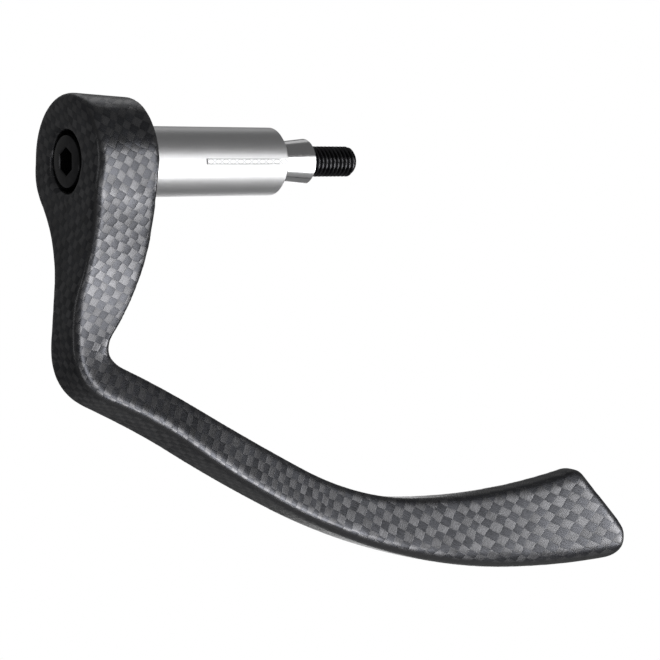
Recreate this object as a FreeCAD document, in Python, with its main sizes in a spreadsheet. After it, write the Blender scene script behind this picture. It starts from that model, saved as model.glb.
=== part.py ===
import FreeCAD, Part
import math
import os
import Sketcher

# Lever guard for the end of a motorbike handlebar.
# X runs along the bar, inboard. Z points from the blade back to the bar. Origin on the seat face.

doc = FreeCAD.newDocument("lever_guard")

SIZES = {
    # Boss that is clamped against the bar end.
    "boss_diameter": 33.0,
    "boss_thickness": 17.4,
    "draft_angle": 3,
    "arm_edge": 2.0,
    "arm_rear_edge": 0.7,
    "rear_edge": 1.4,
    "counterbore_gap": 1.0,
    "counterbore_depth": 8.2,
    "counterbore_chamfer": 0.6,
    "seat_drop": 9.5,
    "seat_width": 29.0,
    # Arm sections, each a drop below the bar and a lean outboard of the boss face.
    "shoulder_drop": 18.0,
    "shoulder_lean": -0.9,
    "shoulder_depth": 17.1,
    "shoulder_width": 22.0,
    "waist_drop": 27.0,
    "waist_lean": -0.2,
    "waist_depth": 16.9,
    "waist_width": 15.8,
    "wrist_drop": 37.5,
    "wrist_lean": 1.5,
    "wrist_depth": 14.4,
    "wrist_width": 12.0,
    # Bend, where the arm turns to run along the lever.
    "bend_drop": 49.0,
    "bend_setback": 4.1,
    "bend_turn": 32.0,
    "bend_twist": 10.0,
    "bend_depth": 11.2,
    "bend_width": 12.0,
    # Blade sections, each a run inboard and a fall below the bend.
    "root_run": 15.4,
    "root_fall": 11.1,
    "root_turn": 59.5,
    "root_twist": 18.0,
    "root_depth": 10.0,
    "root_width": 12.0,
    "middle_run": 36.7,
    "middle_fall": 23.7,
    "middle_turn": 59.6,
    "middle_twist": 13.0,
    "middle_depth": 11.0,
    "middle_width": 12.0,
    "sweep_run": 70.0,
    "sweep_fall": 42.1,
    "sweep_turn": 66.0,
    "sweep_twist": 7.0,
    "sweep_depth": 12.2,
    "sweep_width": 12.0,
    "sweep_edge": 2.6,
    "flare_run": 106.8,
    "flare_fall": 53.3,
    "flare_turn": 84.0,
    "flare_twist": 3.0,
    "flare_depth": 17.6,
    "flare_width": 11.5,
    "flare_edge": 4.0,
    "paddle_back": 41.6,
    "paddle_fall": 56.7,
    "paddle_turn": 90.0,
    "paddle_depth": 24.4,
    "paddle_width": 11.0,
    "paddle_edge": 4.6,
    # Paddle tip, cut on a slant with two rounded corners.
    "tip_run": 183.0,
    "tip_fall": 53.9,
    "tip_turn": 93.0,
    "tip_depth": 33.6,
    "tip_width": 11.0,
    "tip_margin": 5.0,
    "tip_slant": 46.5,
    "tip_front_corner": 7,
    "tip_rear_corner": 8.0,
    "tip_rear_set": 3.8,
    "tip_front_overcut": 0.5,
    "tip_rear_overcut": 0.4,
    "cut_margin": 1.0,
    # Socket head cap screw, 8 mm thread.
    "thread_diameter": 8.0,
    "screw_length": 77.0,
    "screw_point": 1.0,
    "screw_clearance": 0.08,
    "head_diameter": 13.0,
    "head_height": 8.0,
    "head_edge": 0.8,
    "socket_flats": 6.0,
    "socket_depth": 4.0,
    # Expanding sleeve that fills the bore of the bar.
    "sleeve_diameter": 17.4,
    "sleeve_length": 42.2,
    "sleeve_chamfer": 0.6,
    "sleeve_gap": 0.4,
    "slit_width": 1.4,
    "slit_length": 25.0,
    # Taper nut drawn into the sleeve mouth.
    "cone_wall": 0.55,
    "cone_spread": 1.35,
    "cone_length": 14.2,
    "cone_rim": 0.5,
    "cone_entry": 3.4,
    "taper_clearance": 0.08,
}

sheet = doc.addObject("Spreadsheet::Sheet", "sizes")
for row, (alias, value) in enumerate(SIZES.items(), start=1):
    sheet.set(f"A{row}", alias)
    sheet.set(f"B{row}", str(value))
    sheet.setAlias(f"B{row}", alias)
doc.recompute()


def size(alias):
    return float(sheet.get(alias))


def vector(x, y):
    return FreeCAD.Vector(x, y, 0.0)


def new_sketch(body, name, plane_role):
    """Empty sketch on one of the body's own origin planes."""
    sketch = body.newObject("Sketcher::SketchObject", name)
    plane = [item for item in body.Origin.OriginFeatures if item.Role == plane_role][0]
    sketch.AttachmentSupport = (plane, [""])
    sketch.MapMode = "FlatFace"
    return sketch


def bind(sketch, kind, picks, expression, start):
    """Dimension on the picked geometry, driven by the size sheet."""
    index = sketch.addConstraint(Sketcher.Constraint(kind, *picks, start))
    sketch.setExpression(f"Constraints[{index}]", expression)


def polygon_sketch(body, name, plane_role, corners):
    """Closed outline whose corners are pairs of sheet expressions, x then y."""
    sketch = new_sketch(body, name, plane_role)
    points = [vector(sheet_value(x), sheet_value(y)) for x, y in corners]
    count = len(points)
    for index, point in enumerate(points):
        sketch.addGeometry(Part.LineSegment(point, points[(index + 1) % count]), False)
    for index in range(count):
        sketch.addConstraint(Sketcher.Constraint("Coincident", index, 2, (index + 1) % count, 1))
    for index, (x, y) in enumerate(corners):
        place_point(sketch, index, 1, x, y)
    return sketch


def place_point(sketch, geometry, end, x, y):
    """Hold a point of the sketch at sheet expressions x and y from the origin."""
    for kind, expression in (("DistanceX", x), ("DistanceY", y)):
        bind(sketch, kind, (-1, 1, geometry, end), expression, sheet_value(expression))


def sheet_value(expression):
    """Present value of a sheet expression, used to draw a sketch before it is bound."""
    return float(sheet.evalExpression(expression))


def revolve_profile(body, kind, name, sketch, angle):
    """Full or part turn of a profile about the bar axis."""
    feature = body.newObject(f"PartDesign::{kind}", name)
    feature.Profile = sketch
    feature.ReferenceAxis = (sketch, ["H_Axis"])
    feature.Angle = angle
    doc.recompute()
    return feature


# One cross-section of the guard: a drafted bar with its front face wider than its rear face.
# Sketch x points from the front face to the rear face, sketch y to the near side.
def blade_section(body, name, across, drop, turn, twist, depth, width, front_edge, rear_edge):
    sketch = new_sketch(body, name, "XZ_Plane")
    sketch.setExpression("AttachmentOffset.Base.x", across)
    sketch.setExpression("AttachmentOffset.Base.y", f"-({drop})")
    sketch.setExpression("AttachmentOffset.Rotation.Yaw", turn)
    sketch.setExpression("AttachmentOffset.Rotation.Pitch", twist)
    sketch.setExpression("AttachmentOffset.Rotation.Roll", "90")
    half_depth = sheet_value(depth) / 2
    front_half = sheet_value(width) / 2
    draft = math.radians(size("draft_angle"))
    rear_half = front_half - 2 * half_depth * math.tan(draft)
    front_radius = sheet_value(front_edge)
    rear_radius = sheet_value(rear_edge)
    front_setback = front_radius * math.tan((math.pi / 2 + draft) / 2)
    rear_setback = rear_radius * math.tan((math.pi / 2 - draft) / 2)
    along = vector(math.cos(draft), math.sin(draft))
    mirror = vector(math.cos(draft), -math.sin(draft))
    front_low = vector(-half_depth, -front_half)
    rear_low = vector(half_depth, -rear_half)
    front_high = vector(-half_depth, front_half)
    rear_high = vector(half_depth, rear_half)
    low_start = front_low + along * front_setback
    low_end = rear_low - along * rear_setback
    high_start = rear_high - mirror * rear_setback
    high_end = front_high + mirror * front_setback
    rear_start = rear_low + vector(0, rear_setback)
    rear_end = rear_high - vector(0, rear_setback)
    front_start = front_high - vector(0, front_setback)
    front_end = front_low + vector(0, front_setback)
    sides = [(low_start, low_end), (rear_start, rear_end), (high_start, high_end), (front_start, front_end)]
    for start, end in sides:
        sketch.addGeometry(Part.LineSegment(start, end), False)
    rear_center = vector(half_depth - rear_radius, rear_start.y)
    front_center = vector(front_radius - half_depth, front_end.y)
    right = math.pi / 2
    corners = [
        (rear_center, rear_radius, draft - right, 0.0),
        (vector(rear_center.x, -rear_center.y), rear_radius, 0.0, right - draft),
        (vector(front_center.x, -front_center.y), front_radius, right - draft, 2 * right),
        (front_center, front_radius, 2 * right, 3 * right + draft),
    ]
    upward = FreeCAD.Vector(0, 0, 1)
    for center, radius, first, last in corners:
        circle = Part.Circle(center, upward, radius)
        sketch.addGeometry(Part.ArcOfCircle(circle, first, last), False)
    for side in range(4):
        sketch.addConstraint(Sketcher.Constraint("Tangent", side, 2, side + 4, 1))
        sketch.addConstraint(Sketcher.Constraint("Tangent", side + 4, 2, (side + 1) % 4, 1))
    sketch.addConstraint(Sketcher.Constraint("Symmetric", 1, 1, 1, 2, -1))
    sketch.addConstraint(Sketcher.Constraint("Symmetric", 3, 1, 3, 2, -1))
    sketch.addConstraint(Sketcher.Constraint("Equal", 4, 5))
    sketch.addConstraint(Sketcher.Constraint("Equal", 6, 7))
    corner = sketch.addGeometry(Part.Point(front_high), True)
    sketch.addConstraint(Sketcher.Constraint("PointOnObject", corner, 1, 2))
    sketch.addConstraint(Sketcher.Constraint("PointOnObject", corner, 1, 3))
    bind(sketch, "Radius", (4,), rear_edge, rear_radius)
    bind(sketch, "Radius", (6,), front_edge, front_radius)
    bind(sketch, "DistanceX", (3, 1, -1, 1), f"({depth}) / 2", half_depth)
    bind(sketch, "DistanceX", (-1, 1, 1, 1), f"({depth}) / 2", half_depth)
    bind(sketch, "DistanceY", (-1, 1, corner, 1), f"({width}) / 2", front_half)
    bind(sketch, "Angle", (0,), "sizes.draft_angle * 1 deg", draft)
    return sketch


def arm_section(body, name):
    """Section of the straight arm, its front face leaning out from the boss face."""
    across = f"sizes.{name}_depth / 2 - sizes.boss_thickness - sizes.{name}_lean"
    drop = f"sizes.{name}_drop"
    depth = f"sizes.{name}_depth"
    width = f"sizes.{name}_width"
    return blade_section(
        body, name, across, drop, "0", "0", depth, width, "sizes.arm_edge", "sizes.arm_rear_edge")


BEND_ACROSS = "sizes.bend_setback - sizes.boss_thickness"
TIP_ACROSS = f"{BEND_ACROSS} + sizes.tip_run"
PADDLE_ACROSS = f"{TIP_ACROSS} - sizes.paddle_back"
PADDLE_SECTIONS = ("sweep", "flare", "paddle")
STRAIGHT_SECTIONS = ("paddle",)


def run_section(body, name):
    """Section of the blade, placed from the bend."""
    across = PADDLE_ACROSS if name == "paddle" else f"{BEND_ACROSS} + sizes.{name}_run"
    drop = f"sizes.bend_drop + sizes.{name}_fall"
    twist = "0" if name in STRAIGHT_SECTIONS else f"sizes.{name}_twist"
    edge = f"sizes.{name}_edge" if name in PADDLE_SECTIONS else "sizes.arm_edge"
    turn = f"sizes.{name}_turn"
    depth = f"sizes.{name}_depth"
    width = f"sizes.{name}_width"
    return blade_section(body, name, across, drop, turn, twist, depth, width, edge, "sizes.rear_edge")


TIP_FRONT = "-(sizes.bend_drop + sizes.tip_fall + sizes.tip_depth / 2)"
TIP_REAR = "(sizes.tip_depth / 2 - sizes.bend_drop - sizes.tip_fall)"
BOSS_BORE = "sizes.thread_diameter / 2 + sizes.screw_clearance"
SEAT_ACROSS = "(sizes.counterbore_depth - sizes.boss_thickness)"


def boss_profile(body):
    """Half section of the boss, turned about the bar axis to close its top."""
    sketch = new_sketch(body, "boss_profile", "XY_Plane")
    thickness = size("boss_thickness")
    radius = size("boss_diameter") / 2
    draft = math.radians(size("draft_angle"))
    front_radius = size("arm_edge")
    rear_radius = size("arm_rear_edge")
    front_setback = front_radius * math.tan((math.pi / 2 + draft) / 2)
    rear_setback = rear_radius * math.tan((math.pi / 2 - draft) / 2)
    along = vector(math.cos(draft), -math.sin(draft))
    front_corner = vector(-thickness, radius)
    rear_corner = vector(0, radius - thickness * math.tan(draft))
    rear_end = rear_corner - vector(0, rear_setback)
    front_start = front_corner - vector(0, front_setback)
    side = (rear_corner - along * rear_setback, front_corner + along * front_setback)
    outer = vector(-thickness, 0)
    lines = [(outer, vector(0, 0)), (vector(0, 0), rear_end), side, (front_start, outer)]
    for start, end in lines:
        sketch.addGeometry(Part.LineSegment(start, end), False)
    right = math.pi / 2
    upward = FreeCAD.Vector(0, 0, 1)
    rear_circle = Part.Circle(vector(-rear_radius, rear_end.y), upward, rear_radius)
    front_circle = Part.Circle(vector(front_radius - thickness, front_start.y), upward, front_radius)
    sketch.addGeometry(Part.ArcOfCircle(rear_circle, 0.0, right - draft), False)
    sketch.addGeometry(Part.ArcOfCircle(front_circle, right - draft, 2 * right), False)
    sketch.addConstraint(Sketcher.Constraint("Coincident", 0, 2, 1, 1))
    sketch.addConstraint(Sketcher.Constraint("Coincident", 3, 2, 0, 1))
    sketch.addConstraint(Sketcher.Constraint("Coincident", 0, 2, -1, 1))
    sketch.addConstraint(Sketcher.Constraint("Horizontal", 0))
    sketch.addConstraint(Sketcher.Constraint("Vertical", 1))
    sketch.addConstraint(Sketcher.Constraint("Vertical", 3))
    for first, second in ((1, 4), (4, 2), (2, 5), (5, 3)):
        sketch.addConstraint(Sketcher.Constraint("Tangent", first, 2, second, 1))
    corner = sketch.addGeometry(Part.Point(front_corner), True)
    sketch.addConstraint(Sketcher.Constraint("PointOnObject", corner, 1, 2))
    sketch.addConstraint(Sketcher.Constraint("PointOnObject", corner, 1, 3))
    bind(sketch, "Radius", (4,), "sizes.arm_rear_edge", rear_radius)
    bind(sketch, "Radius", (5,), "sizes.arm_edge", front_radius)
    bind(sketch, "DistanceX", (0, 1, 0, 2), "sizes.boss_thickness", thickness)
    bind(sketch, "DistanceY", (-1, 1, corner, 1), "sizes.boss_diameter / 2", radius)
    bind(sketch, "Angle", (2,), "(180 - sizes.draft_angle) * 1 deg", math.pi - draft)
    return sketch


def counterbore_profile(body):
    """Stepped cut for the screw head and shank, with a broken edge at its mouth."""
    face = "-sizes.boss_thickness"
    wall = "(sizes.head_diameter / 2 + sizes.counterbore_gap)"
    outside = f"{face} - sizes.cut_margin"
    return polygon_sketch(body, "counterbore_profile", "XY_Plane", [
        (outside, "0"),
        (outside, f"{wall} + sizes.counterbore_chamfer + sizes.cut_margin"),
        (f"{face} + sizes.counterbore_chamfer", wall),
        (SEAT_ACROSS, wall),
        (SEAT_ACROSS, BOSS_BORE),
        ("sizes.cut_margin", BOSS_BORE),
        ("sizes.cut_margin", "0"),
    ])


def tip_profile(body):
    """Region beyond the slanted paddle tip, with its two rounded corners."""
    sketch = new_sketch(body, "tip_profile", "XZ_Plane")
    slant = math.radians(size("tip_slant"))
    front_radius = size("tip_front_corner")
    rear_radius = size("tip_rear_corner")
    front_across = f"{TIP_ACROSS} - sizes.tip_front_corner"
    front_height = f"{TIP_FRONT} + sizes.tip_front_corner - sizes.tip_front_overcut"
    rear_height = f"{TIP_REAR} - sizes.tip_rear_set - sizes.tip_rear_corner + sizes.tip_rear_overcut"
    top_height = f"{TIP_REAR} + sizes.tip_margin"
    bottom_height = f"{TIP_FRONT} - sizes.tip_margin"
    far_across = f"{TIP_ACROSS} + 2 * sizes.tip_margin"
    outward = vector(math.sin(slant), math.cos(slant))
    upward_slant = vector(-math.cos(slant), math.sin(slant))
    front_center = vector(sheet_value(front_across), sheet_value(front_height))
    rise = sheet_value(rear_height) - front_center.y - outward.y * (front_radius - rear_radius)
    rear_center = front_center + outward * (front_radius - rear_radius)
    rear_center = rear_center + upward_slant * (rise / upward_slant.y)
    top = sheet_value(top_height)
    bottom = sheet_value(bottom_height)
    far = sheet_value(far_across)
    front_low = front_center - vector(0, front_radius)
    rear_high = rear_center + vector(0, rear_radius)
    corners = [
        rear_high,
        vector(rear_center.x, top),
        vector(far, top),
        vector(far, bottom),
        vector(front_center.x, bottom),
        front_low,
    ]
    for start, end in zip(corners, corners[1:]):
        sketch.addGeometry(Part.LineSegment(start, end), False)
    right = math.pi / 2
    axis = FreeCAD.Vector(0, 0, 1)
    front_circle = Part.Circle(front_center, axis, front_radius)
    rear_circle = Part.Circle(rear_center, axis, rear_radius)
    slant_line = (front_center + outward * front_radius, rear_center + outward * rear_radius)
    sketch.addGeometry(Part.ArcOfCircle(front_circle, -right, right - slant), False)
    sketch.addGeometry(Part.LineSegment(*slant_line), False)
    sketch.addGeometry(Part.ArcOfCircle(rear_circle, right - slant, right), False)
    for first, second in ((0, 1), (1, 2), (2, 3), (3, 4), (4, 5), (7, 0)):
        sketch.addConstraint(Sketcher.Constraint("Coincident", first, 2, second, 1))
    for first, second in ((5, 6), (6, 7)):
        sketch.addConstraint(Sketcher.Constraint("Tangent", first, 2, second, 1))
    for line in (0, 2, 4):
        sketch.addConstraint(Sketcher.Constraint("Vertical", line))
    for line in (1, 3):
        sketch.addConstraint(Sketcher.Constraint("Horizontal", line))
    sketch.addConstraint(Sketcher.Constraint("Vertical", 5, 3, 5, 1))
    sketch.addConstraint(Sketcher.Constraint("Vertical", 7, 3, 7, 2))
    bind(sketch, "Radius", (5,), "sizes.tip_front_corner", front_radius)
    bind(sketch, "Radius", (7,), "sizes.tip_rear_corner", rear_radius)
    bind(sketch, "Angle", (6,), "(180 - sizes.tip_slant) * 1 deg", math.pi - slant)
    place_point(sketch, 5, 3, front_across, front_height)
    bind(sketch, "DistanceY", (-1, 1, 7, 3), rear_height, rear_center.y)
    bind(sketch, "DistanceY", (-1, 1, 1, 1), top_height, top)
    bind(sketch, "DistanceX", (-1, 1, 2, 1), far_across, far)
    bind(sketch, "DistanceY", (-1, 1, 3, 1), bottom_height, bottom)
    return sketch


def cut_through(body, name, sketch):
    """Pocket that goes right through the piece on both sides of its sketch."""
    pocket = body.newObject("PartDesign::Pocket", name)
    pocket.Profile = sketch
    pocket.Type = "ThroughAll"
    pocket.SideType = "Symmetric"
    doc.recompute()
    return pocket


LOFT_DEGREE = 2


def make_guard_blade():
    """Moulded guard: half boss, arm, bend and paddle in one piece."""
    body = doc.addObject("PartDesign::Body", "guard_blade")
    boss = blade_section(
        body, "boss_section", "-sizes.boss_thickness / 2", "0", "0", "0", "sizes.boss_thickness",
        "sizes.boss_diameter", "sizes.arm_edge", "sizes.arm_rear_edge")
    seat = blade_section(
        body, "seat_section", "-sizes.boss_thickness / 2", "sizes.seat_drop", "0", "0",
        "sizes.boss_thickness", "sizes.seat_width", "sizes.arm_edge", "sizes.arm_rear_edge")
    sections = [boss, seat]
    sections += [arm_section(body, name) for name in ("shoulder", "waist", "wrist")]
    sections.append(blade_section(
        body, "bend", BEND_ACROSS, "sizes.bend_drop", "sizes.bend_turn", "sizes.bend_twist",
        "sizes.bend_depth", "sizes.bend_width", "sizes.arm_edge", "sizes.rear_edge"))
    sections += [run_section(body, name) for name in ("root", "middle", "sweep", "flare", "paddle")]
    sections.append(blade_section(
        body, "tip", f"{TIP_ACROSS} + sizes.tip_margin", "sizes.bend_drop + sizes.tip_fall",
        "sizes.tip_turn", "0", "sizes.tip_depth", "sizes.tip_width", "sizes.paddle_edge", "sizes.rear_edge"))
    doc.recompute()
    loft = doc.addObject("Part::Loft", "arm_and_paddle")
    loft.Sections = sections
    loft.Solid = True
    loft.MaxDegree = LOFT_DEGREE
    doc.recompute()
    body.BaseFeature = loft
    doc.recompute()
    revolve_profile(body, "Revolution", "boss_top", boss_profile(body), 180)
    revolve_profile(body, "Groove", "counterbore", counterbore_profile(body), 360)
    cut_through(body, "tip_cut", tip_profile(body))
    return body


SLEEVE_END = "sizes.sleeve_length"
CONE_START = "(sizes.sleeve_length - sizes.cone_entry)"
CONE_END = f"({CONE_START} + sizes.cone_length)"
CONE_SMALL = "(sizes.thread_diameter / 2 + sizes.cone_wall)"
CONE_LARGE = f"({CONE_SMALL} + sizes.cone_spread)"
TAPER = "(sizes.cone_spread / (sizes.cone_length - sizes.cone_rim))"
MOUTH = f"({CONE_SMALL} + sizes.cone_entry * {TAPER} + sizes.taper_clearance)"


def make_expander_sleeve():
    """Turned tube, bored for the screw, tapered at its mouth and sawn across to spread."""
    body = doc.addObject("PartDesign::Body", "expander_sleeve")
    outer = "sizes.sleeve_diameter / 2"
    bore = "(sizes.thread_diameter / 2 + sizes.sleeve_gap)"
    profile = polygon_sketch(body, "sleeve_profile", "XZ_Plane", [
        ("0", bore),
        ("0", outer),
        (f"{SLEEVE_END} - sizes.sleeve_chamfer", outer),
        (SLEEVE_END, f"{outer} - sizes.sleeve_chamfer"),
        (SLEEVE_END, MOUTH),
        (f"{SLEEVE_END} - ({MOUTH} - {bore}) / {TAPER}", bore),
    ])
    revolve_profile(body, "Revolution", "turned_tube", profile, 360)
    slit_start = f"{SLEEVE_END} - sizes.slit_length"
    slit_end = f"{SLEEVE_END} + sizes.cut_margin"
    cut_through(body, "saw_slit", polygon_sketch(body, "slit_profile", "XZ_Plane", [
        (slit_start, "-sizes.slit_width / 2"),
        (slit_end, "-sizes.slit_width / 2"),
        (slit_end, "sizes.slit_width / 2"),
        (slit_start, "sizes.slit_width / 2"),
    ]))
    return body


def make_expander_cone():
    """Taper nut on the screw, its small end in the sleeve mouth."""
    body = doc.addObject("PartDesign::Body", "expander_cone")
    profile = polygon_sketch(body, "cone_profile", "XY_Plane", [
        (CONE_START, BOSS_BORE),
        (CONE_START, CONE_SMALL),
        (f"{CONE_END} - sizes.cone_rim", CONE_LARGE),
        (CONE_END, f"{CONE_LARGE} - sizes.cone_rim"),
        (CONE_END, BOSS_BORE),
    ])
    revolve_profile(body, "Revolution", "turned_cone", profile, 360)
    return body


def make_clamp_screw():
    """Socket head cap screw seated in the counterbore."""
    body = doc.addObject("PartDesign::Body", "clamp_screw")
    head = "sizes.head_diameter / 2"
    shank = "sizes.thread_diameter / 2"
    face = f"({SEAT_ACROSS} - sizes.head_height)"
    end = f"({SEAT_ACROSS} + sizes.screw_length)"
    profile = polygon_sketch(body, "screw_profile", "XY_Plane", [
        (face, "0"),
        (face, f"{head} - sizes.head_edge"),
        (f"{face} + sizes.head_edge", head),
        (SEAT_ACROSS, head),
        (SEAT_ACROSS, shank),
        (f"{end} - sizes.screw_point", shank),
        (end, f"{shank} - sizes.screw_point"),
        (end, "0"),
    ])
    revolve_profile(body, "Revolution", "turned_screw", profile, 360)
    corner_reach = "sizes.socket_flats / sqrt(3)"
    hexagon = polygon_sketch(body, "socket_profile", "YZ_Plane", [
        (f"{corner_reach} * cos({angle} deg)", f"{corner_reach} * sin({angle} deg)")
        for angle in range(0, 360, 60)
    ])
    hexagon.setExpression("AttachmentOffset.Base.z", face)
    socket = body.newObject("PartDesign::Pocket", "hex_socket")
    socket.Profile = hexagon
    socket.Reversed = True
    socket.setExpression("Length", "sizes.socket_depth")
    doc.recompute()
    return body


pieces = [make_guard_blade(), make_expander_sleeve(), make_expander_cone(), make_clamp_screw()]
doc.recompute()

failed = [item.Name for item in doc.Objects if "Invalid" in item.State or "Error" in item.State]
failed += [piece.Label for piece in pieces if piece.Shape.isNull() or not piece.Shape.isValid()]
if failed:
    raise RuntimeError(f"not built: {failed}")

os.makedirs("parts", exist_ok=True)
for piece in pieces:
    piece.Shape.exportStep(f"parts/{piece.Label}.step")
    print(piece.Label, round(piece.Shape.Volume, 1), "mm3")
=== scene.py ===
import bpy
import math
import numpy as np
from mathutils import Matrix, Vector


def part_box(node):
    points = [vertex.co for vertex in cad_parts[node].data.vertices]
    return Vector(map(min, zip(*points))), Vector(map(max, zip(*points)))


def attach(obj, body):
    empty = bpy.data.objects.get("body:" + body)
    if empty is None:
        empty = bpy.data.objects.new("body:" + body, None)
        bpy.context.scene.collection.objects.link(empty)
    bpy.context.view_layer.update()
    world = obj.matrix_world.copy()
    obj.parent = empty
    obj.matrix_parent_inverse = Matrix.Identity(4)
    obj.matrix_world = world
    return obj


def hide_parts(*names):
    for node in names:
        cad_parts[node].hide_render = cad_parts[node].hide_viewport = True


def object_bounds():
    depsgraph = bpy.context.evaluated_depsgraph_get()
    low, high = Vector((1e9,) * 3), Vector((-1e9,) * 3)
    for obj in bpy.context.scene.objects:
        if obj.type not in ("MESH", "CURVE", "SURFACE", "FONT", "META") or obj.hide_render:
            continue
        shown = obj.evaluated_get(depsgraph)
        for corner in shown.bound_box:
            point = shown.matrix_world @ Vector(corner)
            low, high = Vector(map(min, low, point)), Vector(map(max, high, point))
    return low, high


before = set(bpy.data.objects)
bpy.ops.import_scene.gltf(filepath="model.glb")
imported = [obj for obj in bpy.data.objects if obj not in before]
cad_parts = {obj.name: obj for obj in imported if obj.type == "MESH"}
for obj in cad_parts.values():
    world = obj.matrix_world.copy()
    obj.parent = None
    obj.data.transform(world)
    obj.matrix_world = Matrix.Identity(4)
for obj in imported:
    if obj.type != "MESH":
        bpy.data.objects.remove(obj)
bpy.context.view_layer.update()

# Guard: one carbon-fibre moulding, from the round boss on the bar end down the arm and out to the paddle.
# Two plies of plain-weave cloth are pressed round a core in a closed mould, so every edge is softly
# rounded, and a satin clear coat is sprayed over the cloth.
MILLIMETRE = 0.001
SKIN_VOXEL = 0.55 * MILLIMETRE
SKIN_SMOOTHING_ROUNDS = 5
PADDLE_SMOOTHING_ROUNDS = 55
PADDLE_EASING_START = 0.070
PADDLE_EASING_BLEND = 0.060
TOW_WIDTH = 1.95 * MILLIMETRE
PADDLE_TOW_GROWTH = 1.4
CLOTH_TURN = math.radians(62)
REAR_FACE_LIMIT = 0.75
RIDGE_START = 0.42
RIDGE_BLEND = 0.16
# Middle line of the guard in the plane of the bar, as (across, height) in millimetres.
MIDDLE_LINE = [
    (-8.7, 14.0), (-8.7, -9.5), (-8.0, -18.0), (-8.9, -27.0), (-11.7, -37.5), (-13.3, -49.0),
    (2.1, -60.1), (23.4, -72.7), (56.7, -91.1), (93.5, -102.3), (128.1, -105.7), (174.7, -102.9),
]
BEND_POINT = 5
FLARE_START_POINT = 8
TIP_POINT = 11
LINE_STATIONS = 400
HEADING_STATIONS = 41
SECTION_STATIONS = 3


def new_piece(name, mesh, body, slot, *nodes):
    """Puts a mesh in the scene as a piece that rides on a body and stands for its nodes."""
    piece = bpy.data.objects.new(name, mesh)
    bpy.context.scene.collection.objects.link(piece)
    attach(piece, body)
    if nodes:
        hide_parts(*nodes)
    return piece


def apply_modifiers(piece):
    """Turns the piece's modifiers into its own mesh."""
    graph = bpy.context.evaluated_depsgraph_get()
    solid = bpy.data.meshes.new_from_object(piece.evaluated_get(graph))
    piece.modifiers.clear()
    piece.data = solid


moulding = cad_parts["guard_blade"].data.copy()
guard = new_piece("carbon_guard", moulding, "guard", "carbon", "guard_blade")
skin = guard.modifiers.new("skin", "REMESH")
skin.mode = "VOXEL"
skin.voxel_size = SKIN_VOXEL
apply_modifiers(guard)
paddle_end = guard.vertex_groups.new(name="paddle_end")
for point in guard.data.vertices:
    if point.co.x > PADDLE_EASING_START:
        share = min(1.0, (point.co.x - PADDLE_EASING_START) / PADDLE_EASING_BLEND)
        paddle_end.add([point.index], share, "REPLACE")
for group, rounds in (("", SKIN_SMOOTHING_ROUNDS), ("paddle_end", PADDLE_SMOOTHING_ROUNDS)):
    easing = guard.modifiers.new("easing", "SMOOTH")
    easing.factor = 0.5
    easing.iterations = rounds
    easing.vertex_group = group
apply_modifiers(guard)
guard.data.polygons.foreach_set("use_smooth", [True] * len(guard.data.polygons))


def read_rows(items, key):
    """Three numbers for each point or face of a mesh, as rows."""
    values = np.zeros(len(items) * 3)
    items.foreach_get(key, values)
    return values.reshape(-1, 3)


def distance_along(line, reach, flat):
    """How far along the middle line each point lies."""
    best = np.full(len(flat), np.inf)
    along = np.zeros(len(flat))
    for start, end, before, after in zip(line, line[1:], reach, reach[1:]):
        length = np.linalg.norm(end - start)
        share = np.clip((flat - start) @ (end - start) / length**2, 0, 1)
        gap = np.linalg.norm(flat - start - share[:, None] * (end - start), axis=1)
        nearer = gap < best
        best[nearer] = gap[nearer]
        along[nearer] = before + share[nearer] * (after - before)
    return along


def rearward_ways(line, reach):
    """Stations along the middle line, and the way from each to the rear of the guard."""
    fine = np.linspace(0, reach[-1], LINE_STATIONS)
    centre = np.stack([np.interp(fine, reach, line[:, axis]) for axis in (0, 1)], axis=1)
    heading = np.gradient(centre, fine, axis=0)
    window = np.ones(HEADING_STATIONS) / HEADING_STATIONS
    margin = HEADING_STATIONS // 2
    padded = np.pad(heading, ((margin, margin), (0, 0)), mode="edge")
    heading = np.stack([np.convolve(padded[:, axis], window, "valid") for axis in (0, 1)], axis=1)
    heading /= np.linalg.norm(heading, axis=1)[:, None]
    return centre, np.stack([-heading[:, 1], heading[:, 0]], axis=1)


def mark_ridges(mesh, rear_way):
    """Marks the two rounded front edges, which get a plain grey without the weave."""
    facing = read_rows(mesh.vertices, "normal")
    forward = -np.einsum("ij,ij->i", facing[:, [0, 2]], rear_way)
    ridge = np.clip((np.minimum(forward, np.abs(facing[:, 1])) - RIDGE_START) / RIDGE_BLEND, 0, 1)
    plain_edge = mesh.attributes.new("plain_edge", "FLOAT", "POINT")
    plain_edge.data.foreach_set("value", ridge)


def store_cloth(mesh, cloth, tow):
    """Turns the unrolled cloth to the run of its tows and keeps it, in tow widths, on the mesh."""
    cosine, sine = math.cos(CLOTH_TURN), math.sin(CLOTH_TURN)
    across = (cloth[:, 0] * cosine + cloth[:, 1] * sine) / tow
    down = (cloth[:, 1] * cosine - cloth[:, 0] * sine) / tow
    layer = mesh.uv_layers.new(name="cloth")
    layer.data.foreach_set("uv", np.stack([across, down], axis=1).ravel())


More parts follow.
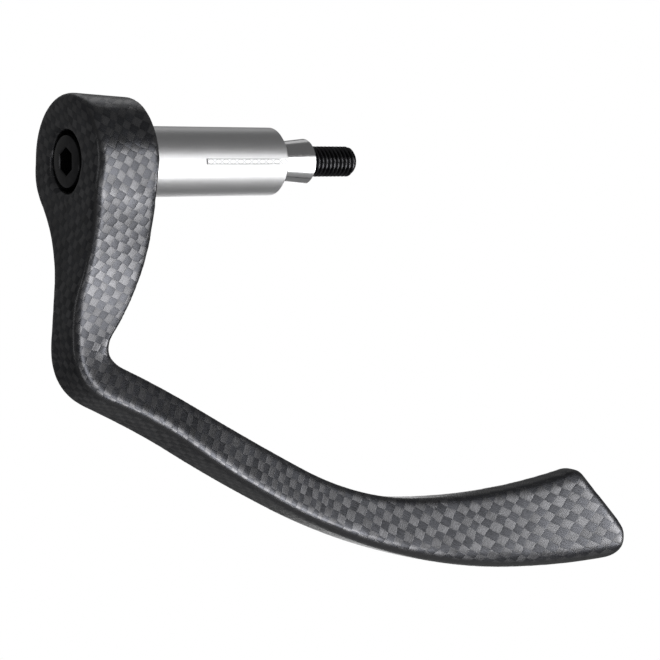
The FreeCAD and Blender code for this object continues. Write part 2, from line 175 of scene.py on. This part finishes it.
def lay_cloth(mesh):
    """Unrolls the cloth round the section, from the near side over the front edge to the far side."""
    line = np.array(MIDDLE_LINE) * MILLIMETRE
    reach = np.concatenate([[0.0], np.cumsum(np.linalg.norm(np.diff(line, axis=0), axis=1))])
    points = read_rows(mesh.vertices, "co")
    flat, side = points[:, [0, 2]], points[:, 1]
    along = distance_along(line, reach, flat)
    centre, rearward = rearward_ways(line, reach)
    last = LINE_STATIONS - 1
    index = np.clip((along / reach[-1] * last).round().astype(int), 0, last)
    rear_way = rearward[index]
    behind = np.einsum("ij,ij->i", flat - centre[index], rear_way)
    half_width = np.full(LINE_STATIONS, 0.0)
    front = np.full(LINE_STATIONS, np.inf)
    np.maximum.at(half_width, index, np.abs(side))
    np.minimum.at(front, index, behind)
    shifts = range(-SECTION_STATIONS, SECTION_STATIONS + 1)
    half_width = np.maximum.reduce([np.roll(half_width, shift) for shift in shifts])
    front = np.minimum.reduce([np.roll(front, shift) for shift in shifts])
    round_way = half_width[index] + side + np.where(side > 0, 2 * (behind - front[index]), 0)
    wrapped = flat - rear_way * round_way[:, None]
    backed = flat + rear_way * (half_width[index] + side)[:, None]
    corner_point = np.zeros(len(mesh.loops), int)
    mesh.loops.foreach_get("vertex_index", corner_point)
    corner_face = np.repeat(np.arange(len(mesh.polygons)), [len(face.vertices) for face in mesh.polygons])
    first_corner = np.array([face.loop_start for face in mesh.polygons])
    face_facing = read_rows(mesh.polygons, "normal")[:, [0, 2]]
    face_rear_way = rear_way[corner_point[first_corner]]
    face_is_rear = np.einsum("ij,ij->i", face_facing, face_rear_way) > REAR_FACE_LIMIT
    cloth = np.where(face_is_rear[corner_face][:, None], backed[corner_point], wrapped[corner_point])
    growth = np.interp(along, reach[[FLARE_START_POINT, TIP_POINT]], [1.0, PADDLE_TOW_GROWTH])
    store_cloth(mesh, cloth - line[BEND_POINT], TOW_WIDTH * growth[corner_point])
    mark_ridges(mesh, rear_way)


lay_cloth(guard.data)


def feed(tree, socket, value):
    """Links another socket to this one, or sets a plain value on it."""
    if isinstance(value, bpy.types.NodeSocket):
        tree.links.new(value, socket)
    else:
        socket.default_value = value


def math_node(tree, operation, *values):
    """Math on one or two values, each a socket or a plain number."""
    made = tree.nodes.new("ShaderNodeMath")
    made.operation = operation
    for socket, value in zip(made.inputs, values):
        feed(tree, socket, value)
    return made.outputs[0]


def scaled_sum(tree, start, *terms):
    """A value plus other values, each times its weight."""
    total = start
    for value, weight in terms:
        total = math_node(tree, "ADD", total, math_node(tree, "MULTIPLY", value, weight))
    return total


def mix_node(tree, kind, share, first, second):
    """Blend of two numbers (FLOAT) or two colours (RGBA)."""
    made = tree.nodes.new("ShaderNodeMix")
    made.data_type = kind
    low_socket, high_socket, result = {"FLOAT": (2, 3, 0), "RGBA": (6, 7, 2)}[kind]
    feed(tree, made.inputs["Factor"], share)
    feed(tree, made.inputs[low_socket], first)
    feed(tree, made.inputs[high_socket], second)
    return made.outputs[result]


def noise_node(tree, place, scale, detail):
    """Cloudy noise over a place."""
    made = tree.nodes.new("ShaderNodeTexNoise")
    made.inputs["Scale"].default_value = scale
    made.inputs["Detail"].default_value = detail
    tree.links.new(place, made.inputs["Vector"])
    return made


def emboss(tree, shader, height, strength, depth):
    """Fine relief in a shader's surface."""
    bump = tree.nodes.new("ShaderNodeBump")
    bump.inputs["Strength"].default_value = strength
    bump.inputs["Distance"].default_value = depth
    tree.links.new(height, bump.inputs["Height"])
    tree.links.new(bump.outputs[0], shader.inputs["Normal"])


def new_finish(name):
    """Empty material with a principled shader, its tree and the shader."""
    finish = bpy.data.materials.new(name)
    finish.use_nodes = True
    tree = finish.node_tree
    shader = tree.nodes["Principled BSDF"]
    return finish, tree, shader


# Both tows are the same black fibre: the lighter lengthwise colour is painted sheen and the darker, bluer
# crosswise colour is painted shade.
LIT_LENGTHWISE_TOW = (0.150, 0.150, 0.158, 1)
SHADED_CROSSWISE_TOW = (0.085, 0.087, 0.097, 1)
PLAIN_EDGE_GREY = (0.09, 0.09, 0.094, 1)
TOW_WANDER = 0.9
WANDER_SCALE = 0.32
STRANDS_PER_TOW = 14.0
STRAND_WAVES = 0.7
CROWN_ROUNDING = 0.35
BLOTCH_SCALE = 0.45
STRAND_SHADE = 0.55
BLOTCH_SHADE = 0.6
CROWN_SHADE = 0.2
CHANCE_SHADE = 0.3
CARBON_ROUGHNESS = 0.20
STRAND_ROUGHNESS = 0.16
STRAND_RELIEF = 0.12
WEAVE_DEPTH = 0.1 * MILLIMETRE
WEAVE_BUMP = 0.22


def woven_carbon():
    """Plain weave: square by square, a tow of one direction lies over a tow of the other; the lengthwise
    tows are painted lighter than the crosswise ones, as painted sheen.
    """
    finish, tree, shader = new_finish("woven_carbon")
    cloth = tree.nodes.new("ShaderNodeUVMap")
    cloth.uv_map = "cloth"
    wander = noise_node(tree, cloth.outputs[0], WANDER_SCALE, 1.5)
    drift = tree.nodes.new("ShaderNodeVectorMath")
    drift.operation = "MULTIPLY_ADD"
    drift.inputs[1].default_value = (TOW_WANDER, TOW_WANDER, 0.0)
    tree.links.new(wander.outputs["Color"], drift.inputs[0])
    tree.links.new(cloth.outputs[0], drift.inputs[2])
    split = tree.nodes.new("ShaderNodeSeparateXYZ")
    tree.links.new(drift.outputs[0], split.inputs[0])
    across, down = split.outputs[0], split.outputs[1]
    square = tree.nodes.new("ShaderNodeVectorMath")
    square.operation = "FLOOR"
    tree.links.new(drift.outputs[0], square.inputs[0])
    chance = tree.nodes.new("ShaderNodeTexWhiteNoise")
    tree.links.new(square.outputs[0], chance.inputs["Vector"])
    cells = math_node(tree, "ADD", math_node(tree, "FLOOR", across), math_node(tree, "FLOOR", down))
    over = math_node(tree, "PINGPONG", cells, 1.0)
    crowns = []
    for way in (across, down):
        turn = math_node(tree, "MULTIPLY", math_node(tree, "FRACT", way), math.pi)
        crowns.append(math_node(tree, "POWER", math_node(tree, "SINE", turn), CROWN_ROUNDING))
    crown = math_node(tree, "MULTIPLY", *crowns)
    strands = []
    for stretch in ((STRANDS_PER_TOW, STRAND_WAVES, 1.0), (STRAND_WAVES, STRANDS_PER_TOW, 1.0)):
        stretched = tree.nodes.new("ShaderNodeVectorMath")
        stretched.operation = "MULTIPLY"
        stretched.inputs[1].default_value = stretch
        tree.links.new(cloth.outputs[0], stretched.inputs[0])
        strands.append(noise_node(tree, stretched.outputs[0], 1.0, 2.0).outputs["Fac"])
    strand = mix_node(tree, "FLOAT", over, *strands)
    blotch = noise_node(tree, cloth.outputs[0], BLOTCH_SCALE, 3.0).outputs["Fac"]
    shade = scaled_sum(tree, math_node(tree, "MULTIPLY", strand, STRAND_SHADE), (blotch, BLOTCH_SHADE),
                       (crown, CROWN_SHADE), (chance.outputs["Value"], CHANCE_SHADE))
    tint = tree.nodes.new("ShaderNodeVectorMath")
    tint.operation = "SCALE"
    # Painted sheen: the lengthwise tows get the lighter colour and the crosswise tows the darker one.
    tree.links.new(mix_node(tree, "RGBA", over, SHADED_CROSSWISE_TOW, LIT_LENGTHWISE_TOW), tint.inputs[0])
    tree.links.new(shade, tint.inputs["Scale"])
    plain_edge = tree.nodes.new("ShaderNodeAttribute")
    plain_edge.attribute_name = "plain_edge"
    # The rounded front edges get a plain grey without the weave.
    skin = mix_node(tree, "RGBA", plain_edge.outputs["Fac"], tint.outputs[0], PLAIN_EDGE_GREY)
    tree.links.new(skin, shader.inputs["Base Color"])
    rough = scaled_sum(tree, CARBON_ROUGHNESS, (strand, STRAND_ROUGHNESS))
    tree.links.new(rough, shader.inputs["Roughness"])
    emboss(tree, shader, scaled_sum(tree, crown, (strand, STRAND_RELIEF)), WEAVE_BUMP, WEAVE_DEPTH)
    shader.inputs["Metallic"].default_value = 0.85
    shader.inputs["Anisotropic"].default_value = 0.3
    grain = tree.nodes.new("ShaderNodeTangent")
    grain.direction_type = "UV_MAP"
    grain.uv_map = "cloth"
    tree.links.new(grain.outputs[0], shader.inputs["Tangent"])
    quarter_turn = math_node(tree, "MULTIPLY", over, 0.25)
    tree.links.new(quarter_turn, shader.inputs["Anisotropic Rotation"])
    shader.inputs["Coat Weight"].default_value = 0.12
    shader.inputs["Coat Roughness"].default_value = 0.3
    return finish


guard.data.materials.clear()
guard.data.materials.append(woven_carbon())

# Sleeve of the expanding plug: turned from aluminium bar, bored for the screw and left as machined.
# A saw cut from its inner end lets it spread in the bar's bore.
METAL_GREY = (0.80, 0.80, 0.81, 1)
RING_DULLNESS = 0.86
RING_ROUGHNESS = 0.08
RING_BUMP = 0.25
HANDLING_ROUGHNESS = 0.06
HANDLING_SCALE = 160.0
SLEEVE_ROUGHNESS = 0.42
SLEEVE_RING_SPACING = 0.12 * MILLIMETRE
SLEEVE_RING_DEPTH = 0.04 * MILLIMETRE


def turned_metal(name, colour, roughness, ring_spacing, ring_depth):
    """Machined finish: fine rings round the bar axis, with a little unevenness along it."""
    finish, tree, shader = new_finish(name)
    place = tree.nodes.new("ShaderNodeTexCoord").outputs["Object"]
    stretch = tree.nodes.new("ShaderNodeMapping")
    stretch.inputs["Scale"].default_value = (1 / ring_spacing, 12.0, 12.0)
    tree.links.new(place, stretch.inputs["Vector"])
    rings = noise_node(tree, stretch.outputs[0], 1.0, 3.0).outputs["Fac"]
    handling = noise_node(tree, place, HANDLING_SCALE, 4.0).outputs["Fac"]
    rough = scaled_sum(tree, roughness - HANDLING_ROUGHNESS, (rings, RING_ROUGHNESS),
                       (handling, HANDLING_ROUGHNESS))
    tree.links.new(rough, shader.inputs["Roughness"])
    dull = tuple(RING_DULLNESS * part for part in colour[:3]) + (1,)
    tree.links.new(mix_node(tree, "RGBA", rings, dull, colour), shader.inputs["Base Color"])
    emboss(tree, shader, rings, RING_BUMP, ring_depth)
    shader.inputs["Metallic"].default_value = 1.0
    return finish


def dress(name, finish):
    """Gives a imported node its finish."""
    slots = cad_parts[name].data.materials
    slots.clear()
    slots.append(finish)


satin = turned_metal(
    "satin_aluminium", METAL_GREY, SLEEVE_ROUGHNESS, SLEEVE_RING_SPACING, SLEEVE_RING_DEPTH)
dress("expander_sleeve", satin)

# Taper nut: turned from the same bar, with a finer finish on its cone, and threaded on the screw.
# It is drawn into the sleeve's mouth to spread it.
CONE_ROUGHNESS = 0.20
CONE_RING_SPACING = 0.2 * MILLIMETRE
CONE_RING_DEPTH = 0.01 * MILLIMETRE

bright = turned_metal(
    "bright_aluminium", METAL_GREY, CONE_ROUGHNESS, CONE_RING_SPACING, CONE_RING_DEPTH)
dress("expander_cone", bright)

# Tongues of the taper nut: two flat strips, scored across, that lie in the sleeve's saw cut.
# They keep the nut from turning with the screw and slide in the cut as it is drawn in.
TONGUE_FRONT = 17.7 * MILLIMETRE
TONGUE_BACK = 42.0 * MILLIMETRE
TONGUE_INNER = 4.35 * MILLIMETRE
TONGUE_OUTER = 8.35 * MILLIMETRE
TONGUE_WIDTH = 1.2 * MILLIMETRE
TONGUE_EDGE = 0.08 * MILLIMETRE
SCORE_SPACING = 2.2 * MILLIMETRE
SCORE_SLANT = 1.6
SCORE_STEEPNESS = 3.0
SCORE_GREY = (0.45, 0.45, 0.46, 1)
SCORE_DEPTH = 0.04 * MILLIMETRE
SCORE_BUMP = 0.4
SCORED_ROUGHNESS = 0.32
GRAIN_ROUGHNESS = 0.2
GRAIN_SCALE = 2500.0


def tongue(name, side):
    """Flat strip on one side of the bar axis."""
    half = TONGUE_WIDTH / 2
    corners = [(x, side * y, z) for x in (TONGUE_FRONT, TONGUE_BACK)
               for y in (TONGUE_INNER, TONGUE_OUTER) for z in (-half, half)]
    faces = [(0, 1, 3, 2), (4, 6, 7, 5), (0, 4, 5, 1), (2, 3, 7, 6), (0, 2, 6, 4), (1, 5, 7, 3)]
    if side < 0:
        faces = [tuple(reversed(face)) for face in faces]
    mesh = bpy.data.meshes.new(name)
    mesh.from_pydata(corners, [], faces)
    mesh.update()
    piece = new_piece(name, mesh, "cone", "turned_aluminium")
    rounding = piece.modifiers.new("rounding", "BEVEL")
    rounding.width = TONGUE_EDGE
    rounding.segments = 2
    apply_modifiers(piece)
    return piece


def scored_metal():
    """Bright metal scored with crossing slanted lines."""
    finish, tree, shader = new_finish("scored_aluminium")
    place = tree.nodes.new("ShaderNodeTexCoord").outputs["Object"]
    split = tree.nodes.new("ShaderNodeSeparateXYZ")
    tree.links.new(place, split.inputs[0])
    along = math_node(tree, "MULTIPLY", split.outputs[0], 2 / SCORE_SPACING)
    across = math_node(tree, "MULTIPLY", split.outputs[2], SCORE_SLANT / TONGUE_WIDTH)
    rising = math_node(tree, "PINGPONG", math_node(tree, "ADD", along, across), 1.0)
    falling = math_node(tree, "PINGPONG", math_node(tree, "SUBTRACT", along, across), 1.0)
    lowest = math_node(tree, "MINIMUM", rising, falling)
    score = math_node(tree, "SMOOTH_MIN", math_node(tree, "MULTIPLY", lowest, SCORE_STEEPNESS), 1.0)
    grain = noise_node(tree, place, GRAIN_SCALE, 2.0).outputs["Fac"]
    tree.links.new(mix_node(tree, "RGBA", score, SCORE_GREY, METAL_GREY), shader.inputs["Base Color"])
    rough = scaled_sum(tree, SCORED_ROUGHNESS, (grain, GRAIN_ROUGHNESS))
    tree.links.new(rough, shader.inputs["Roughness"])
    emboss(tree, shader, score, SCORE_BUMP, SCORE_DEPTH)
    shader.inputs["Metallic"].default_value = 1.0
    return finish


scored = scored_metal()
for name, side in (("near_tongue", -1), ("far_tongue", 1)):
    tongue(name, side).data.materials.append(scored)

# Screw: black-oxide steel cap screw with a hexagon socket, cold headed and rolled with a coarse thread.
# Its head is sunk in the boss and the thread carries the taper nut.
THREAD_PITCH = 1.25 * MILLIMETRE
THREAD_DEPTH = 0.72 * MILLIMETRE
THREADED_LENGTH = 46 * MILLIMETRE
CREST_HALF_SHARE = 0.06
FLANK_SHARE = 0.32
RINGS_PER_TURN = 10
SIDES = 60
HEAD_HEIGHT = 8 * MILLIMETRE
HEAD_EDGE = 0.8 * MILLIMETRE
EDGE_SHOULDER = 0.3 * HEAD_EDGE
SHANK_RADIUS = 4 * MILLIMETRE
POINT = 1 * MILLIMETRE
SOCKET_FLATS = 6 * MILLIMETRE
SOCKET_DEPTH = 4 * MILLIMETRE
SOCKET_LEAD = 0.25 * MILLIMETRE
SHARP_EDGE = math.radians(35)
DARK_OXIDE = (0.02, 0.02, 0.022, 1)
WORN_OXIDE = (0.10, 0.10, 0.105, 1)
OXIDE_DEPTH = 0.02 * MILLIMETRE
OXIDE_BUMP = 0.2
OXIDE_ROUGHNESS = 0.16
STAIN_ROUGHNESS = 0.16
STAIN_SCALE = 400.0


def hexagon_radius(angle):
    """Distance from the axis to the socket's wall at an angle."""
    turn = (angle + math.pi / 6) % (math.pi / 3) - math.pi / 6
    return SOCKET_FLATS / 2 / math.cos(turn)


def thread_radius(across, angle):
    """Radius of the rolled thread: a flat crest, and flanks that run smoothly into the root."""
    phase = (across / THREAD_PITCH - angle / (2 * math.pi)) % 1.0
    flank = min(1.0, max(0.0, (abs(phase - 0.5) - CREST_HALF_SHARE) / FLANK_SHARE))
    return SHANK_RADIUS - THREAD_DEPTH * (flank * flank * (3 - 2 * flank))


def screw_mesh():
    """Rings of points along the bar axis, from the socket's floor over the head and down to the point."""
    low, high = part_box("clamp_screw")
    face, end, head = low.x, high.x, high.z
    seat = face + HEAD_HEIGHT
    thread_start = end - THREADED_LENGTH
    angles = [2 * math.pi * side / SIDES for side in range(SIDES)]
    rings = [
        (face + SOCKET_DEPTH, hexagon_radius),
        (face + SOCKET_LEAD, hexagon_radius),
        (face, lambda a: hexagon_radius(a) + SOCKET_LEAD),
        (face, lambda a: head - HEAD_EDGE),
        (face + EDGE_SHOULDER, lambda a: head - EDGE_SHOULDER),
        (face + HEAD_EDGE, lambda a: head),
        (seat, lambda a: head),
        (seat, lambda a: SHANK_RADIUS),
        (thread_start, lambda a: SHANK_RADIUS),
    ]
    count = int((end - thread_start) / THREAD_PITCH * RINGS_PER_TURN)
    for step in range(1, count + 1):
        across = thread_start + (end - thread_start) * step / count
        limit = SHANK_RADIUS - max(0.0, across - (end - POINT))
        fade = min(1.0, (across - thread_start) / THREAD_PITCH)
        rings.append((across, lambda a, x=across, top=limit, f=fade: min(
            top, SHANK_RADIUS + f * (thread_radius(x, a) - SHANK_RADIUS))))
    points = [(face + SOCKET_DEPTH, 0, 0)]
    for across, radius in rings:
        points += [(across, radius(a) * math.cos(a), radius(a) * math.sin(a)) for a in angles]
    points.append((end, 0, 0))
    last = len(points) - 1
    faces = []
    for side in range(SIDES):
        following = (side + 1) % SIDES
        faces.append((0, 1 + following, 1 + side))
        for ring in range(len(rings) - 1):
            here, there = 1 + ring * SIDES, 1 + (ring + 1) * SIDES
            faces.append((here + side, here + following, there + following, there + side))
        final = 1 + (len(rings) - 1) * SIDES
        faces.append((final + side, final + following, last))
    mesh = bpy.data.meshes.new("cap_screw")
    mesh.from_pydata(points, [], faces)
    mesh.update()
    return mesh


def black_steel():
    """Black oxide: nearly black and slightly uneven, with paler worn spots."""
    finish, tree, shader = new_finish("black_oxide")
    place = tree.nodes.new("ShaderNodeTexCoord").outputs["Object"]
    stain = noise_node(tree, place, STAIN_SCALE, 5.0).outputs["Fac"]
    tree.links.new(mix_node(tree, "RGBA", stain, DARK_OXIDE, WORN_OXIDE), shader.inputs["Base Color"])
    rough = scaled_sum(tree, OXIDE_ROUGHNESS, (stain, STAIN_ROUGHNESS))
    tree.links.new(rough, shader.inputs["Roughness"])
    emboss(tree, shader, stain, OXIDE_BUMP, OXIDE_DEPTH)
    shader.inputs["Metallic"].default_value = 0.9
    return finish


screw = new_piece("cap_screw", screw_mesh(), "screw", "black_steel", "clamp_screw")
screw.data.materials.append(black_steel())
screw.data.polygons.foreach_set("use_smooth", [True] * len(screw.data.polygons))
screw.data.set_sharp_from_angle(angle=SHARP_EDGE)

# Studio: a pale floor well below the guard, and soft boxes round it. Those on the camera's right light the
# side faces and the paddle, and weak ones on the left, low in front and behind bring out the rest.
# The room is white to the eye, and dim in the reflections so that the soft boxes shape them.
FLOOR_DROP = 0.55
FLOOR_REACH = 1.2
FLOOR_FADE_START = 0.22
FLOOR_FADE_END = 0.5
FLOOR_WHITE = 0.75
FLOOR_GREY = (0.65, 0.65, 0.65, 1)

low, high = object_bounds()
middle = (low + high) / 2
floor_mesh = bpy.data.meshes.new("floor")
floor_height = low.z - FLOOR_DROP
floor_mesh.from_pydata(
    [(x * FLOOR_REACH, y * FLOOR_REACH, floor_height) for x, y in ((-1, -1), (1, -1), (1, 1), (-1, 1))],
    [], [(0, 1, 2, 3)])
floor = bpy.data.objects.new("floor", floor_mesh)
bpy.context.scene.collection.objects.link(floor)


def pale_floor():
    """Matt pale floor that fades to the white of the room away from the object."""
    finish, tree, shader = new_finish("pale_floor")
    shader.inputs["Base Color"].default_value = FLOOR_GREY
    shader.inputs["Roughness"].default_value = 0.9
    shader.inputs["Specular IOR Level"].default_value = 0.0
    place = tree.nodes.new("ShaderNodeTexCoord")
    offset = tree.nodes.new("ShaderNodeVectorMath")
    offset.operation = "SUBTRACT"
    offset.inputs[1].default_value = (middle.x, middle.y, floor_height)
    tree.links.new(place.outputs["Object"], offset.inputs[0])
    reach = tree.nodes.new("ShaderNodeVectorMath")
    reach.operation = "LENGTH"
    tree.links.new(offset.outputs[0], reach.inputs[0])
    fade = tree.nodes.new("ShaderNodeMapRange")
    fade.interpolation_type = "SMOOTHSTEP"
    fade.inputs["From Min"].default_value = FLOOR_FADE_START
    fade.inputs["From Max"].default_value = FLOOR_FADE_END
    tree.links.new(reach.outputs["Value"], fade.inputs["Value"])
    ray = tree.nodes.new("ShaderNodeLightPath")
    seen_white = math_node(tree, "MAXIMUM", fade.outputs[0], FLOOR_WHITE)
    share = math_node(tree, "MULTIPLY", seen_white, ray.outputs["Is Camera Ray"])
    white = tree.nodes.new("ShaderNodeEmission")
    white.inputs["Color"].default_value = (1, 1, 1, 1)
    mixed = tree.nodes.new("ShaderNodeMixShader")
    tree.links.new(share, mixed.inputs[0])
    tree.links.new(shader.outputs[0], mixed.inputs[1])
    tree.links.new(white.outputs[0], mixed.inputs[2])
    tree.links.new(mixed.outputs[0], tree.nodes["Material Output"].inputs["Surface"])
    return finish


floor.data.materials.append(pale_floor())

ROOM_LIGHT = 0.12
ROOM_GLEAM = 0.13

world = bpy.data.worlds.new("studio")
bpy.context.scene.world = world
world.use_nodes = True
room = world.node_tree
room.nodes.clear()
ray = room.nodes.new("ShaderNodeLightPath")
gleam = math_node(room, "MULTIPLY", ray.outputs["Is Glossy Ray"], ROOM_GLEAM - ROOM_LIGHT)
seen = math_node(room, "MAXIMUM", ray.outputs["Is Camera Ray"], ray.outputs["Is Transmission Ray"])
level = math_node(room, "ADD", math_node(room, "MULTIPLY", seen, 1 - ROOM_LIGHT), ROOM_LIGHT)
level = math_node(room, "ADD", level, gleam)
white = room.nodes.new("ShaderNodeBackground")
white.inputs["Color"].default_value = (1, 1, 1, 1)
room.links.new(level, white.inputs["Strength"])
output = room.nodes.new("ShaderNodeOutputWorld")
room.links.new(white.outputs[0], output.inputs["Surface"])


def soft_light(name, place, target, width, height, power):
    """Rectangular soft box aimed at a point."""
    lamp = bpy.data.lights.new(name, "AREA")
    lamp.shape = "RECTANGLE"
    lamp.size = width
    lamp.size_y = height
    lamp.energy = power
    holder = bpy.data.objects.new(name, lamp)
    holder.location = place
    holder.rotation_euler = (Vector(target) - Vector(place)).to_track_quat("-Z", "Y").to_euler()
    holder.visible_camera = False
    bpy.context.scene.collection.objects.link(holder)


soft_light("right_box", (0.40, -0.68, -0.13), (0.0, 0, -0.03), 0.25, 0.85, 2.4)
soft_light("paddle_box", (0.80, -0.48, -0.25), (0.16, 0, -0.1), 0.14, 0.20, 1.0)
soft_light("low_box", (0.26, -0.42, -0.38), (0, 0, -0.02), 0.24, 0.2, 0.6)
soft_light("left_strip", (-0.75, -0.35, 0.05), middle, 0.12, 0.6, 0.25)
soft_light("back_box", (0.35, 0.55, 0.60), middle, 0.5, 0.4, 0.3)
soft_light("rear_box", (0.62, 0.70, -0.30), middle, 0.3, 0.5, 0.65)
soft_light("front_fill", (-0.05, -0.85, -0.50), middle, 0.9, 0.3, 0.9)

# Camera: outboard of the bar end and to one side of the guard's plane, level with the plug.
# It looks slightly down, through a long lens, and all is in focus.
LENS = 98.2
SENSOR = 36.0
CAMERA_PLACE = (-0.2230, -0.3843, 0.0)
CAMERA_TURN = math.radians(36.5)
CAMERA_DIP = math.radians(5.345)

camera = bpy.data.objects.new("camera", bpy.data.cameras.new("camera"))
camera.data.lens = LENS
camera.data.sensor_width = SENSOR
camera.location = CAMERA_PLACE
camera.rotation_euler = (math.pi / 2 - CAMERA_DIP, 0, -CAMERA_TURN)
bpy.context.scene.collection.objects.link(camera)
bpy.context.scene.camera = camera
bpy.context.scene.view_settings.view_transform = "Standard"
